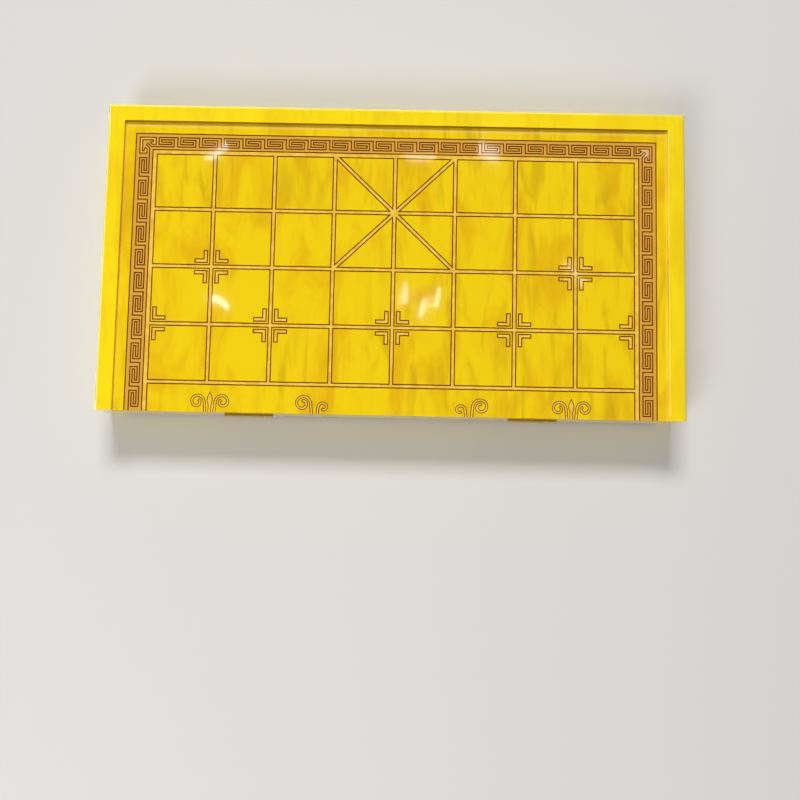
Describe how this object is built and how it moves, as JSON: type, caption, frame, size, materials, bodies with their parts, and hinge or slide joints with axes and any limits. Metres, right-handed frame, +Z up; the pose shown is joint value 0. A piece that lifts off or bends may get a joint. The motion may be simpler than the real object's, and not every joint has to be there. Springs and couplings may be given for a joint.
{
  "type": "folding chinese chess board",
  "caption": "Folding wooden board for chinese chess: hinged tray halves with raised rims, an engraved playing grid outside and lined storage inside.",
  "frame": {"origin": "middle of the folded board's bounding box, on the surface that it lies on", "axes": "+X along the fold, to the right of a player who looks across the fold at the upper half; +Y from the fold to the far rails; +Z up, out of the upper half's playing face"},
  "size_m": [0.48, 0.2584, 0.0443],
  "materials": {
    "lacquered_wood": "glossy clear lacquer over yellow",
    "playing_face": "glossy clear lacquer over mottled yellow with brown engraved lines",
    "lining_cloth": "short pile cloth",
    "hinge_brass": "satin",
    "pin_steel": "satin",
    "magnet_plating": "plated"
  },
  "bodies": {
    "upper_half": {"upper_far_rail": "lacquered_wood", "upper_left_rail": "lacquered_wood", "upper_right_rail": "lacquered_wood", "upper_fold_rail": "lacquered_wood", "upper_playing_panel": "playing_face", "upper_lining": "lining_cloth", "upper_hinge_screws": "hinge_brass", "upper_magnets": "magnet_plating", "left_hinge_upper_leaf": "hinge_brass", "right_hinge_upper_leaf": "hinge_brass", "left_hinge_pin": "pin_steel", "right_hinge_pin": "pin_steel"},
    "lower_half": {"lower_far_rail": "lacquered_wood", "lower_left_rail": "lacquered_wood", "lower_right_rail": "lacquered_wood", "lower_fold_rail": "lacquered_wood", "lower_playing_panel": "playing_face", "lower_lining": "lining_cloth", "lower_hinge_screws": "hinge_brass", "lower_magnets": "magnet_plating", "left_hinge_lower_leaf": "hinge_brass", "right_hinge_lower_leaf": "hinge_brass"}
  },
  "joints": [
    {"name": "fold", "type": "hinge", "parent": "upper_half", "child": "lower_half", "pos_m": [0, -0.12698, 0.02215], "axis": [-1, 0, 0], "range_deg": [0, 180]}
  ]
}
